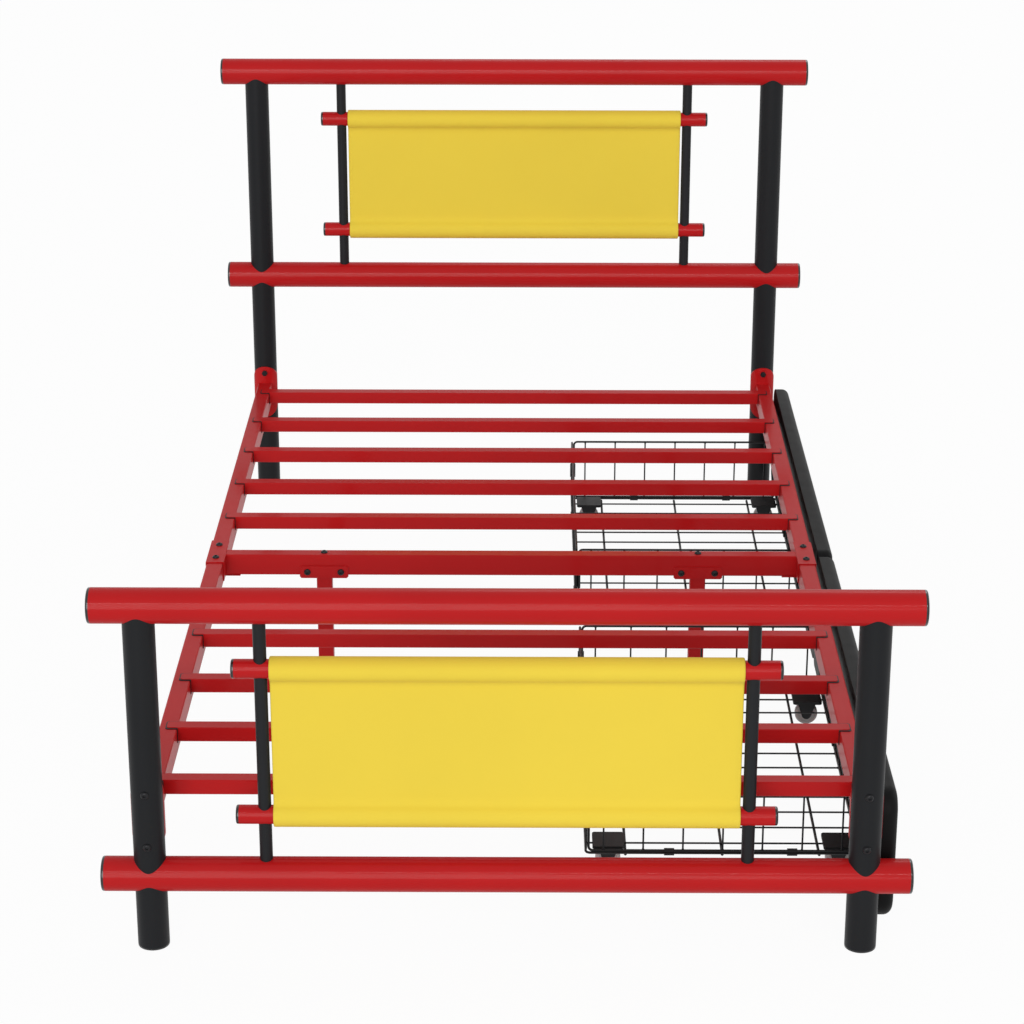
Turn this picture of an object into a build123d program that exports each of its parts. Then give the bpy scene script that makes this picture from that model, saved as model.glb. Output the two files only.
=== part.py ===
from build123d import *
import os

# A single metal bed with two rolling drawers under its right side.
# Millimetres, +Z up, X across the bed, +Y towards the head end.
# The origin is on the floor, midway between the two ends and the two side rails.

# Thick tubes of the two ends
end_to_end = 1960.0
post_span = 1040.0
post_diameter = 46.5
post_wall = 1.5
rail_diameter = 51.5
rail_wall = 1.5
rail_length = 1181.0
foot_rail_height = 115.0
head_rail_height = 459.0
rail_spacing = 424.0

# Panel of thin tubes inside each end
upright_diameter = 19.0
upright_wall = 1.2
upright_span = 700.0
bar_diameter = 28.0
bar_wall = 1.2
bar_length = 783.6
upper_bar_drop = 96.5
bar_spacing = 230.5
weld_gap = 0.05

# Plastic caps in the open tube ends, and feet in the post and leg bottoms
cap_rim = 4.5
foot_rim = 2.5
plug_depth = 16.0
plug_fit = 0.1
plug_ribs = 8

# Fabric panel drawn over the two bars of each end
fabric_width = 674.0
fabric_thickness = 3.0
fabric_ease = 0.3
fabric_fold_radius = 12.0

# Side rails, each of two halves that meet in the middle
side_rail_width = 28.0
side_rail_height = 38.0
side_rail_top = 230.0
side_rail_wall = 1.5
half_rail_gap = 0.4

# Curved plate welded to the outer end of each half rail, bolted to the post
end_plate_thickness = 2.5
end_plate_width = 47.6
end_plate_height = 110.0
post_bolt_spacing = 84.0

# Channel that joins the two halves of a side rail and carries the centre beam
joiner_length = 104.0
joiner_wall = 1.6
joiner_depth = 34.0
joiner_fit = 0.25
joiner_bolt_spacing = 60.0
beam_seat_reach = 26.0
beam_seat_thickness = 2.0

# Centre beam and its two legs
beam_width = 25.0
beam_height = 38.0
beam_wall = 1.5
leg_span = 662.0
leg_width = 27.0
leg_wall = 1.5
leg_top_plate = 3.0
leg_flange_width = 86.0
leg_flange_height = 22.5
leg_flange_thickness = 2.5
leg_flange_lap = 5.0
leg_flange_corner = 3.0
leg_bolt_spacing = 59.2

# Slats across the side rails
slats_each_side = 5
slat_pitch = 179.8
slat_width = 24.0
slat_height = 23.5
slat_wall = 1.2
tongue_reach = 16.2
tongue_corner = 3.0
pad_thickness = 1.0
pad_border = 2.0
pad_drop = 1.5

# Frame bolts and nuts
bolt_diameter = 7.5
bolt_head_diameter = 12.0
bolt_head_height = 3.5
bolt_head_sides = 12
bolt_sides = 6
nut_height = 5.0
bolt_end = 1.0
bolt_fit = 0.3
seat_gap = 0.05
beam_bolt_length = 14.0

# Drawer front boards
board_gap = 9.3
board_thickness = 28.0
board_bottom = 21.0
board_height = 210.0
board_seam = 2.0
board_end_gap = 3.25
board_end_radius = 35.0
board_seam_radius = 20.0
board_edge_radius = 14.0

# Welded wire baskets
basket_width = 424.0
basket_length = 600.0
basket_height = 123.0
rod_diameter = 4.0
wire_diameter = 3.0
floor_bearer_diameter = 4.5
wire_sides = 6
rod_sides = 8
rod_corner_cut = 4.0
rod_gap = 0.1
board_fixing_gap = 1.6
side_wires = 7
side_wire_inset = 29.0
end_wires = 9
end_wire_inset = 60.0
floor_wires = 11
floor_wire_inset = 34.5
floor_bearers = 3
floor_bearer_inset = 63.0

# Spring clips that hold the wire panels together
clip_wall = 1.2
clip_fit = 0.12
clip_mouth = 2.2
clip_corner = 1.2
edge_clip_length = 15.5
corner_clip_length = 27.0
side_clip_insets = (130.0, 105.0)
end_clip_inset = 104.0

# Saddles and screws that hold the basket to its front board
saddle_width = 12.0
saddle_wall = 2.0
saddle_foot = 11.0
saddle_top_inset = 90.0
saddle_bottom_inset = 217.0
screw_diameter = 3.5
screw_head_diameter = 7.0
screw_head_height = 2.2
screw_depth = 15.0
screw_fit = 0.1

# Fixed casters under the basket floor
wheel_diameter = 39.0
wheel_width = 15.0
wheel_top_gap = 1.0
wheel_side_gap = 0.8
axle_diameter = 5.0
axle_fit = 0.05
bore_flats = 8
wheel_bore_fit = 0.1
axle_proud = 0.4
caster_inset_x = 34.0
caster_offset_x = 3.0
fork_top_width = 31.0
fork_cheek = 3.0
fork_eye_radius = 8.0
fork_eye_sides = 16
fork_bridge = 1.35
groove_gap = 0.15
caster_plate_size = 49.0
caster_plate_thickness = 5.0
caster_plate_corner = 3.0

# Places that follow from the sizes above
end_y = end_to_end / 2
post_x = post_span / 2
post_radius = post_diameter / 2
rail_radius = rail_diameter / 2
side_rail_middle = side_rail_top - side_rail_height / 2
side_rail_inner_x = post_x - side_rail_width / 2
side_rail_outer_x = post_x + side_rail_width / 2
end_plate_inner_radius = post_radius + seat_gap
end_plate_outer_radius = end_plate_inner_radius + end_plate_thickness
beam_middle = side_rail_top - beam_height / 2
beam_bottom = side_rail_top - beam_height
joiner_inner_x = side_rail_inner_x - joiner_fit - joiner_wall
joiner_top = side_rail_top + joiner_fit + joiner_wall
beam_bolt_x = joiner_inner_x - bolt_head_diameter / 2 - joiner_wall
axle_height = wheel_diameter / 2
fork_bridge_bottom = wheel_diameter + wheel_top_gap
floor_height = fork_bridge_bottom + fork_bridge + groove_gap + wire_diameter / 2
plate_bottom = floor_height + wire_diameter / 2
fork_width = wheel_width + 2 * (wheel_side_gap + fork_cheek)
side_wire_spacing = (basket_width - 2 * side_wire_inset) / (side_wires - 1)
end_wire_spacing = (basket_length - 2 * end_wire_inset) / (end_wires - 1)
floor_wire_spacing = (basket_length - 2 * floor_wire_inset) / (floor_wires - 1)
floor_bearer_spacing = (basket_width - 2 * floor_bearer_inset) / (floor_bearers - 1)
caster_y = basket_length / 2 - floor_wire_inset
caster_spacing_x = basket_width - 2 * caster_inset_x
bearer_height = floor_height - wire_diameter / 2 - floor_bearer_diameter / 2 - weld_gap
wall_bottom = floor_height + rod_diameter + rod_gap
wall_top = floor_height + basket_height
board_inner_x = side_rail_outer_x + board_gap
board_length = end_y - rail_radius - board_end_gap - board_seam / 2
drawer_y = board_seam / 2 + board_length / 2
basket_x = board_inner_x - board_fixing_gap - basket_width / 2
front_rod_x = basket_x + basket_width / 2 - rod_diameter / 2
side_clip_offsets = (side_clip_insets[0] - basket_width / 2, basket_width / 2 - side_clip_insets[1])
end_clip_offset = basket_length / 2 - end_clip_inset
corner_clip_height = floor_height + basket_height / 2
saddle_top_offset = basket_length / 2 - saddle_top_inset
saddle_bottom_offset = basket_length / 2 - saddle_bottom_inset
screw_drop = rod_diameter / 2 + screw_head_diameter / 2 + saddle_wall / 2

FROM_BASE = (Align.CENTER, Align.CENTER, Align.MIN)


def save(name, *solids):
    """Write one node's solids to its own file."""
    export_step(Compound(label=name, children=list(solids)), f"parts/{name}.step")


def spaced(count, spacing):
    """Places of a centred row."""
    return [spacing * (index - (count - 1) / 2) for index in range(count)]


def rod_between(start, end, diameter):
    """A round rod from one point to another."""
    line = Edge.make_line(start, end)
    return Solid.make_cylinder(diameter / 2, line.length, Plane(origin=start, z_dir=line % 0))


def round_tube(start, end, diameter, wall):
    """A round tube from one point to another."""
    return rod_between(start, end, diameter) - rod_between(start, end, diameter - 2 * wall)


def tube_section(width, height, wall):
    """The section of a rectangular tube, its outer corners eased by the wall."""
    outer = chamfer(Rectangle(width, height).vertices(), wall)
    return outer - Rectangle(width - 2 * wall, height - 2 * wall)


def across(height, diameter, y):
    """A long rod along X that trims the tubes that meet a rail or bar."""
    return rod_between((-rail_length, y, height), (rail_length, y, height), diameter + 2 * weld_gap)


def coped_tube(x, y, bottom, top, diameter, wall, crossing):
    """An upright tube with each end cut to the round of the tube that it meets."""
    tube = round_tube((x, y, bottom), (x, y, top), diameter, wall)
    for height, crossing_diameter in crossing:
        tube -= across(height, crossing_diameter, y)
    return tube


def end_rail(y, height):
    """One thick rail of an end, short of its caps."""
    reach = rail_length / 2 - cap_rim
    return round_tube((-reach, y, height), (reach, y, height), rail_diameter, rail_wall)


def post(side, y, lower_rail):
    """A post in two lengths, one under and one over the lower rail, drilled for its bolts."""
    x = side * post_x
    upper_rail = lower_rail + rail_spacing
    ends = [(lower_rail, rail_diameter), (upper_rail, rail_diameter)]
    lower = coped_tube(x, y, foot_rim, lower_rail, post_diameter, post_wall, ends[:1])
    upper = coped_tube(x, y, lower_rail, upper_rail, post_diameter, post_wall, ends)
    for height in spaced(2, post_bolt_spacing):
        hole = bolt_hole((x, y - post_diameter, side_rail_middle + height), (0, 1, 0), 2 * post_diameter)
        lower -= hole
        upper -= hole
    return lower, upper


def bar_heights(lower_rail):
    """Heights of the upper and lower thin bar of an end."""
    upper_bar = lower_rail + rail_spacing - upper_bar_drop
    return upper_bar, upper_bar - bar_spacing


def panel_uprights(y, lower_rail):
    """The thin uprights of an end, in three coped lengths on each side."""
    upper_bar, lower_bar = bar_heights(lower_rail)
    crossing = [
        (lower_rail + rail_spacing, rail_diameter),
        (upper_bar, bar_diameter),
        (lower_bar, bar_diameter),
        (lower_rail, rail_diameter),
    ]
    pieces = []
    for x in spaced(2, upright_span):
        for above, below in zip(crossing, crossing[1:]):
            ends = [above, below]
            piece = coped_tube(x, y, below[0], above[0], upright_diameter, upright_wall, ends)
            pieces.append(piece)
    return pieces


def panel_bars(y, lower_rail):
    """The two thin bars of an end, short of their caps."""
    reach = bar_length / 2 - cap_rim
    heights = bar_heights(lower_rail)
    return [round_tube((-reach, y, z), (reach, y, z), bar_diameter, bar_wall) for z in heights]


def tube_cap(diameter, wall, rim):
    """A plug that grips its tube on straight ribs, with a rim as wide as the tube above z = 0."""
    face = Cylinder(diameter / 2, rim, align=FROM_BASE)
    plug = extrude(RegularPolygon(diameter / 2 - wall - plug_fit, plug_ribs), -plug_depth)
    return face + plug


def end_caps(y, lower_rail):
    """The caps of the two rails and two bars of an end."""
    upper_bar, lower_bar = bar_heights(lower_rail)
    rail_cap = tube_cap(rail_diameter, rail_wall, cap_rim)
    bar_cap = tube_cap(bar_diameter, bar_wall, cap_rim)
    rail_reach = rail_length / 2 - cap_rim
    bar_reach = bar_length / 2 - cap_rim
    places = [(rail_cap, rail_reach, lower_rail), (rail_cap, rail_reach, lower_rail + rail_spacing)]
    places += [(bar_cap, bar_reach, upper_bar), (bar_cap, bar_reach, lower_bar)]
    caps = []
    for cap, reach, height in places:
        caps.append(Pos(reach, y, height) * Rot(0, 90, 0) * cap)
        caps.append(Pos(-reach, y, height) * Rot(0, -90, 0) * cap)
    return caps


def leg_foot():
    """The square foot in the bottom of a leg."""
    face = extrude(chamfer(Rectangle(leg_width, beam_width).vertices(), leg_wall), foot_rim)
    inset = 2 * (leg_wall + plug_fit)
    plug = chamfer(Rectangle(leg_width - inset, beam_width - inset).vertices(), leg_wall)
    return face + Pos(0, 0, foot_rim) * extrude(plug, plug_depth)


def floor_feet():
    """The feet of the four posts and the two legs."""
    post_foot = tube_cap(post_diameter, post_wall, foot_rim)
    upturned = Pos(0, 0, foot_rim) * Rot(180, 0, 0) * post_foot
    feet = [Pos(x, y, 0) * upturned for x in (-post_x, post_x) for y in (-end_y, end_y)]
    feet += [Pos(x, 0, 0) * leg_foot() for x in spaced(2, leg_span)]
    return feet


def fabric_panel(y, lower_rail):
    """A doubled cloth drawn tight over both bars, with a sleeve round each and a web between."""
    upper_bar, lower_bar = bar_heights(lower_rail)
    sleeve_radius = bar_diameter / 2 + fabric_ease + fabric_thickness
    web = Pos(0, (upper_bar + lower_bar) / 2) * Rectangle(fabric_thickness, bar_spacing)
    profile = web
    for height in (upper_bar, lower_bar):
        profile += Pos(0, height) * Circle(sleeve_radius)
    clear = bar_diameter / 2
    folds = profile.vertices().filter_by_position(Axis.Y, lower_bar + clear, upper_bar - clear)
    profile = fillet(folds, fabric_fold_radius)
    for height in (upper_bar, lower_bar):
        profile -= Pos(0, height) * Circle(bar_diameter / 2 + fabric_ease)
    return Pos(0, y, 0) * extrude(Plane.YZ * profile, fabric_width / 2, both=True)


def side_rail_half(side, end):
    """Half of a side rail, from its round end at the post plate to the middle of the bed."""
    section = Plane.XZ * tube_section(side_rail_width, side_rail_height, side_rail_wall)
    half = Pos(side * post_x, 0, side_rail_middle) * extrude(section, -end * (end_y - post_radius))
    meeting = Box(2 * side_rail_width, half_rail_gap, side_rail_height)
    half -= Pos(side * post_x, 0, side_rail_middle) * meeting
    seat = Cylinder(end_plate_outer_radius + weld_gap, 2 * side_rail_height)
    half -= Pos(side * post_x, end * end_y, side_rail_middle) * seat
    bolt_y = end * joiner_bolt_spacing / 2
    return half - bolt_hole((side * post_x, bolt_y, side_rail_middle), (0, 0, 1), side_rail_height)


def end_plate(side, end):
    """A plate with round ends, rolled to the post, welded to the end of a half rail."""
    ring = Cylinder(end_plate_outer_radius, end_plate_height)
    ring -= Cylinder(end_plate_inner_radius, end_plate_height)
    outline = Rot(0, 0, 90) * SlotOverall(end_plate_height, end_plate_width)
    plate = ring & extrude(Plane.XZ * outline, end * end_plate_outer_radius)
    plate = Pos(side * post_x, end * end_y, side_rail_middle) * plate
    for height in spaced(2, post_bolt_spacing):
        start = (side * post_x, end * end_y, side_rail_middle + height)
        plate -= bolt_hole(start, (0, -end, 0), 2 * end_plate_outer_radius)
    return plate


def joiner(side):
    """A channel over the meeting half rails, whose inner flange turns in below the centre beam."""
    inner_width = side_rail_width + 2 * joiner_fit
    outer_width = inner_width + 2 * joiner_wall
    height = joiner_depth + joiner_fit + joiner_wall
    channel = Pos(0, 0, joiner_top - height / 2) * Box(outer_width, joiner_length, height)
    top_edges = channel.edges().filter_by(Axis.Y).group_by(Axis.Z)[-1]
    channel = chamfer(top_edges, joiner_wall / 2)
    channel -= Pos(0, 0, joiner_top - joiner_wall - height / 2) * Box(inner_width, joiner_length, height)
    seat_top = beam_bottom - seat_gap
    drop_height = joiner_top - seat_top + beam_seat_thickness - joiner_wall
    drop = Box(joiner_wall, beam_width, drop_height, align=FROM_BASE)
    seat = Box(beam_seat_reach, beam_width, beam_seat_thickness, align=FROM_BASE)
    flange_x = -(inner_width + joiner_wall) / 2
    seat_x = flange_x + joiner_wall / 2 - beam_seat_reach / 2
    channel += Pos(flange_x, 0, seat_top - beam_seat_thickness) * drop
    channel += Pos(seat_x, 0, seat_top - beam_seat_thickness) * seat
    for y in spaced(2, joiner_bolt_spacing):
        channel -= bolt_hole((0, y, side_rail_middle), (0, 0, 1), side_rail_height)
    channel -= bolt_hole((beam_bolt_x - post_x, 0, beam_bottom - beam_height), (0, 0, 1), 2 * beam_height)
    turn = 0 if side > 0 else 180
    return Pos(side * post_x, 0, 0) * Rot(0, 0, turn) * channel


def centre_beam():
    """The beam between the two joiners, drilled for its end bolts and leg bolts."""
    section = Plane.YZ * tube_section(beam_width, beam_height, beam_wall)
    reach = joiner_inner_x - seat_gap
    beam = Pos(0, 0, beam_middle) * extrude(section, reach, both=True)
    for side in (-1, 1):
        beam -= bolt_hole((side * beam_bolt_x, 0, beam_bottom - beam_height / 2), (0, 0, 1), beam_height)
    for x in spaced(2, leg_span):
        beam -= bolt_hole((x, 0, beam_bottom - beam_height / 2), (0, 0, 1), 2 * beam_height)
        for offset in spaced(2, leg_bolt_spacing):
            beam -= bolt_hole((x + offset, -beam_width, leg_bolt_height()), (0, 1, 0), 2 * beam_width)
    return beam


def leg_bolt_height():
    """Height of the two bolts through each leg's flange and the beam."""
    return beam_bottom - leg_flange_lap + leg_flange_height / 2 - seat_gap


def centre_leg(x):
    """A square leg with a closed top and a cross flange on the front face of the beam."""
    top = beam_bottom - seat_gap
    section = tube_section(leg_width, beam_width, leg_wall)
    leg = Pos(0, 0, foot_rim) * extrude(section, top - foot_rim)
    plug = chamfer(Rectangle(leg_width, beam_width).vertices(), leg_wall)
    leg += Pos(0, 0, top - leg_top_plate) * extrude(plug, leg_top_plate)
    flange_y = -beam_width / 2 - leg_flange_thickness / 2 - seat_gap
    outline = chamfer(Rectangle(leg_flange_width, leg_flange_height).vertices(), leg_flange_corner)
    flange = extrude(Plane.XZ * outline, leg_flange_thickness / 2, both=True)
    leg += Pos(0, flange_y, leg_bolt_height()) * flange
    lap_height = leg_flange_lap - seat_gap
    lap = Box(leg_width - 4 * leg_wall, 2 * seat_gap + leg_wall, lap_height, align=FROM_BASE)
    leg += Pos(0, -beam_width / 2, beam_bottom - leg_flange_lap) * lap
    leg -= bolt_hole((0, 0, beam_bottom - beam_height), (0, 0, 1), 2 * beam_height)
    for offset in spaced(2, leg_bolt_spacing):
        leg -= bolt_hole((offset, -beam_width, leg_bolt_height()), (0, 1, 0), beam_width)
    return Pos(x, 0, 0) * leg


def slat(y):
    """A rectangular tube whose top wall runs on as a tongue over each side rail."""
    top = side_rail_top + pad_thickness + slat_wall
    section = Plane.YZ * tube_section(slat_width, slat_height, slat_wall)
    tube = extrude(section, side_rail_inner_x - pad_thickness, both=True)
    tube = Pos(0, y, top - slat_height / 2) * tube
    reach = side_rail_inner_x + tongue_reach
    tongue = chamfer(Rectangle(2 * reach, slat_width - 2 * slat_wall).vertices(), tongue_corner)
    tongue = extrude(tongue, slat_wall)
    return tube + Pos(0, y, top - slat_wall) * tongue


def slat_pad(side, y):
    """A bent plastic pad between a slat's end and the side rail."""
    width = slat_width + 2 * pad_border
    reach = pad_thickness + tongue_reach + pad_border
    top_leaf = Box(reach, width, pad_thickness, align=(Align.MIN, Align.CENTER, Align.MIN))
    outer_corners = top_leaf.edges().filter_by(Axis.Z).group_by(Axis.X)[-1]
    top_leaf = chamfer(outer_corners, tongue_corner)
    drop = slat_height - slat_wall + pad_drop
    side_leaf = Box(pad_thickness, width, drop, align=(Align.MIN, Align.CENTER, Align.MAX))
    pad = top_leaf + Pos(0, 0, pad_thickness) * side_leaf
    turn = 0 if side > 0 else 180
    place = side * (side_rail_inner_x - pad_thickness)
    return Pos(place, y, side_rail_top) * Rot(0, 0, turn) * pad


def bolt_hole(start, direction, length):
    """A clearance hole for a frame bolt."""
    hole = RegularPolygon(bolt_diameter / 2 + bolt_fit, bolt_sides)
    return extrude(Plane(origin=start, z_dir=direction) * hole, length)


def frame_bolt(seat, direction, grip, nutted):
    """A round headed bolt whose head sits at a point and whose shank runs along a direction."""
    head = extrude(RegularPolygon(bolt_head_diameter / 2, bolt_head_sides), -bolt_head_height)
    bolt = head + extrude(RegularPolygon(bolt_diameter / 2, bolt_sides), grip)
    plane = Plane(origin=seat, z_dir=direction)
    if not nutted:
        return [plane * bolt]
    nut = RegularPolygon(bolt_head_diameter / 2, bolt_sides)
    nut = extrude(nut - RegularPolygon(bolt_diameter / 2 + seat_gap, bolt_sides), nut_height)
    return [plane * bolt, plane * Pos(0, 0, grip - nut_height - bolt_end) * nut]


def frame_bolts():
    """Every bolt and nut of the frame."""
    pieces = []
    through_post = post_radius + end_plate_outer_radius + 2 * seat_gap + nut_height + bolt_end
    through_beam = beam_width + leg_flange_thickness + 3 * seat_gap + nut_height + bolt_end
    down = (0, 0, -1)
    for side in (-1, 1):
        for end in (-1, 1):
            seat_y = end * (end_y + post_radius + seat_gap)
            for height in spaced(2, post_bolt_spacing):
                seat = (side * post_x, seat_y, side_rail_middle + height)
                pieces += frame_bolt(seat, (0, -end, 0), through_post, True)
            seat = (side * post_x, end * joiner_bolt_spacing / 2, joiner_top + seat_gap)
            pieces += frame_bolt(seat, down, beam_bolt_length, False)
        seat = (side * beam_bolt_x, 0, beam_bottom - beam_seat_thickness - 2 * seat_gap)
        pieces += frame_bolt(seat, (0, 0, 1), beam_bolt_length, False)
    for x in spaced(2, leg_span):
        length = beam_height + leg_top_plate + 2 * seat_gap + nut_height
        pieces += frame_bolt((x, 0, side_rail_top + seat_gap), down, length, False)
        for offset in spaced(2, leg_bolt_spacing):
            seat_y = -beam_width / 2 - leg_flange_thickness - 2 * seat_gap
            pieces += frame_bolt((x + offset, seat_y, leg_bolt_height()), (0, 1, 0), through_beam, True)
    return pieces


def rod_loop(width, height):
    """A closed loop of thick rod in the XY plane with cut corners, sized over its outside."""
    x = (width - rod_diameter) / 2
    y = (height - rod_diameter) / 2
    cut = rod_corner_cut
    right = [(0, -y), (x - cut, -y), (x, cut - y), (x, y - cut), (x - cut, y)]
    left = [(cut - x, y), (-x, y - cut), (-x, cut - y), (cut - x, -y)]
    path = Wire(Polyline(*right, *left, close=True).edges())
    section = Plane(origin=(0, -y, 0), z_dir=(1, 0, 0)) * RegularPolygon(rod_diameter / 2, rod_sides)
    return sweep(section, path=path, transition=Transition.RIGHT)


def straight_wire(start, end, diameter):
    """A straight wire, drawn with flat sides to keep so many of them light."""
    line = Edge.make_line(start, end)
    section = Plane(origin=start, z_dir=line % 0) * RegularPolygon(diameter / 2, wire_sides)
    return extrude(section, line.length)


def wire_wall(width, height, wires, spacing):
    """A wall panel in the XY plane: a rod loop with upright wires welded between its long rods."""
    reach = height / 2 - rod_diameter - weld_gap
    pieces = [rod_loop(width, height)]
    for x in spaced(wires, spacing):
        pieces.append(straight_wire((x, -reach, 0), (x, reach, 0), wire_diameter))
    return pieces


def basket_floor(y):
    """The floor panel: a rod loop, cross wires welded into it and thicker bearers welded below them."""
    across_reach = basket_width / 2 - rod_diameter - weld_gap
    along_reach = basket_length / 2 - rod_diameter - weld_gap
    pieces = [rod_loop(basket_width, basket_length)]
    for place in spaced(floor_wires, floor_wire_spacing):
        pieces.append(straight_wire((-across_reach, place, 0), (across_reach, place, 0), wire_diameter))
    drop = bearer_height - floor_height
    for place in spaced(floor_bearers, floor_bearer_spacing):
        start = (place, -along_reach, drop)
        pieces.append(straight_wire(start, (place, along_reach, drop), floor_bearer_diameter))
    return [Pos(basket_x, y, floor_height) * piece for piece in pieces]


def side_wall(y, end):
    """A short wall, across the bed, standing on the floor panel between the long walls."""
    height = wall_top - wall_bottom + rod_diameter
    width = basket_width - 2 * (rod_diameter + rod_gap)
    panel = wire_wall(width, height, side_wires, side_wire_spacing)
    place = (basket_x, y + end * (basket_length - rod_diameter) / 2, (wall_top + wall_bottom) / 2)
    plane = Plane(origin=place, x_dir=(1, 0, 0), z_dir=(0, -1, 0))
    return [plane * piece for piece in panel]


def long_wall(y, side):
    """A long wall, along the bed, standing on the floor panel."""
    height = wall_top - wall_bottom + rod_diameter
    panel = wire_wall(basket_length, height, end_wires, end_wire_spacing)
    place = (basket_x + side * (basket_width - rod_diameter) / 2, y, (wall_top + wall_bottom) / 2)
    plane = Plane(origin=place, x_dir=(0, 1, 0), z_dir=(1, 0, 0))
    return [plane * piece for piece in panel]


def spring_clip(length):
    """An open sleeve round two rods side by side along X, drawn along Z, with its mouth towards +Y."""
    inner_height = rod_diameter + 2 * clip_fit
    inner_width = inner_height + rod_diameter + rod_gap
    outer = Rectangle(inner_width + 2 * clip_wall, inner_height + 2 * clip_wall)
    ring = chamfer(outer.vertices(), clip_corner) - Rectangle(inner_width, inner_height)
    ring -= Pos(0, inner_height / 2) * Rectangle(clip_mouth, inner_height)
    return extrude(ring, length / 2, both=True)


def basket_clips(y):
    """Edge clips between floor and walls, and corner clips between the walls."""
    pieces = []
    pair_height = (floor_height + wall_bottom) / 2
    side_y = (basket_length - rod_diameter) / 2
    end_x = (basket_width - rod_diameter) / 2
    edge_clip = spring_clip(edge_clip_length)
    corner_clip = spring_clip(corner_clip_length)
    for end in (-1, 1):
        for offset in side_clip_offsets:
            place = (basket_x + offset, y + end * side_y, pair_height)
            pieces.append(Plane(origin=place, x_dir=(0, 0, 1), z_dir=(-end, 0, 0)) * edge_clip)
        place = (basket_x - end_x, y + end * end_clip_offset, pair_height)
        pieces.append(Plane(origin=place, x_dir=(0, 0, 1), z_dir=(0, -1, 0)) * edge_clip)
        for side in (-1, 1):
            pair_x = basket_x + side * (end_x - (rod_diameter + rod_gap) / 2)
            place = (pair_x, y + end * side_y, corner_clip_height)
            pieces.append(Plane(origin=place, x_dir=(end, 0, 0), z_dir=(0, 0, -end)) * corner_clip)
    return pieces


def saddle_places():
    """Offset along the board and rod height of each saddle."""
    top = [(offset, wall_top) for offset in spaced(2, 2 * saddle_top_offset)]
    return top + [(offset, wall_bottom) for offset in spaced(2, 2 * saddle_bottom_offset)]


def screw_height(rod_height):
    """Height of a saddle's screw: below the top rod and above the bottom rod."""
    away = -screw_drop if rod_height == wall_top else screw_drop
    return rod_height + away


def screw_shank(radius, length):
    """A screw's shank or its hole, drawn with flat sides, along Z from z = 0."""
    return extrude(RegularPolygon(radius, wire_sides), length)


def board_saddles(y):
    """Plastic saddles over the outer wall's rods, and their screws into the board."""
    pieces = []
    back_x = front_rod_x - rod_diameter / 2 - clip_fit - saddle_wall
    depth = board_inner_x - seat_gap - back_x
    slot_height = rod_diameter + 2 * clip_fit
    for offset, rod_height in saddle_places():
        is_top = rod_height == wall_top
        low = rod_height - saddle_foot if is_top else rod_height - rod_diameter / 2
        high = rod_height + rod_diameter / 2 + saddle_wall if is_top else rod_height + saddle_foot
        place = Pos(back_x, y + offset, low)
        block = place * Box(depth, saddle_width, high - low, align=(Align.MIN, Align.CENTER, Align.MIN))
        slot = Box(depth, saddle_width, slot_height, align=(Align.MIN, Align.CENTER, Align.CENTER))
        block -= Pos(back_x + saddle_wall, y + offset, rod_height) * slot
        seat = Plane(origin=(back_x - seat_gap, y + offset, screw_height(rod_height)), z_dir=(1, 0, 0))
        block -= seat * screw_shank(screw_diameter / 2 + screw_fit, 2 * depth)
        head = extrude(RegularPolygon(screw_head_diameter / 2, rod_sides), -screw_head_height)
        shank = screw_shank(screw_diameter / 2, depth + screw_depth - screw_fit)
        pieces += [block, seat * (head + shank)]
    return pieces


def drawer_front(y, end):
    """A thick board with round corners and a deep round on its outer edges, drilled for its screws."""
    outline = Rectangle(board_length, board_height)
    seam_side, far_side = (0, -1) if end > 0 else (-1, 0)
    outline = fillet(outline.vertices().group_by(Axis.X)[seam_side], board_seam_radius)
    outline = fillet(outline.vertices().group_by(Axis.X)[far_side], board_end_radius)
    board = extrude(Plane.YZ * outline, board_thickness)
    outer_edges = board.faces().sort_by(Axis.X)[-1].edges()
    board = fillet(outer_edges, board_edge_radius)
    board = Pos(board_inner_x, y, board_bottom + board_height / 2) * board
    for offset, rod_height in saddle_places():
        start = Plane(origin=(board_inner_x, y + offset, screw_height(rod_height)), z_dir=(1, 0, 0))
        board -= start * screw_shank(screw_diameter / 2 + screw_fit, screw_depth)
    return board


def caster_places(y):
    """Centres of a drawer's four casters, rear pair last."""
    middle = basket_x + caster_offset_x
    return [(middle + x, y + row) for row in spaced(2, 2 * caster_y) for x in spaced(2, caster_spacing_x)]


def caster_fork():
    """The fork: two tapered cheeks with round eyes and a bridge grooved for a floor wire."""
    block_height = plate_bottom - fork_bridge_bottom
    eye = Pos(0, axle_height) * RegularPolygon(fork_eye_radius, fork_eye_sides)
    block = Pos(0, plate_bottom - block_height / 2) * Rectangle(fork_top_width, block_height)
    outline = make_hull((eye + block).edges())
    fork = extrude(Plane.XZ * outline, fork_width / 2, both=True)
    wheel_space = Box(2 * fork_top_width, fork_width - 2 * fork_cheek, fork_bridge_bottom, align=FROM_BASE)
    fork -= wheel_space
    groove_width = wire_diameter + 2 * groove_gap
    groove = Box(fork_top_width, groove_width, block_height - fork_bridge, align=FROM_BASE)
    fork -= Pos(0, 0, fork_bridge_bottom + fork_bridge) * groove
    bore = RegularPolygon(axle_diameter / 2 + axle_fit, bore_flats, major_radius=False)
    return fork - extrude(Plane.XZ * Pos(0, axle_height) * bore, fork_width, both=True)


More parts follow.
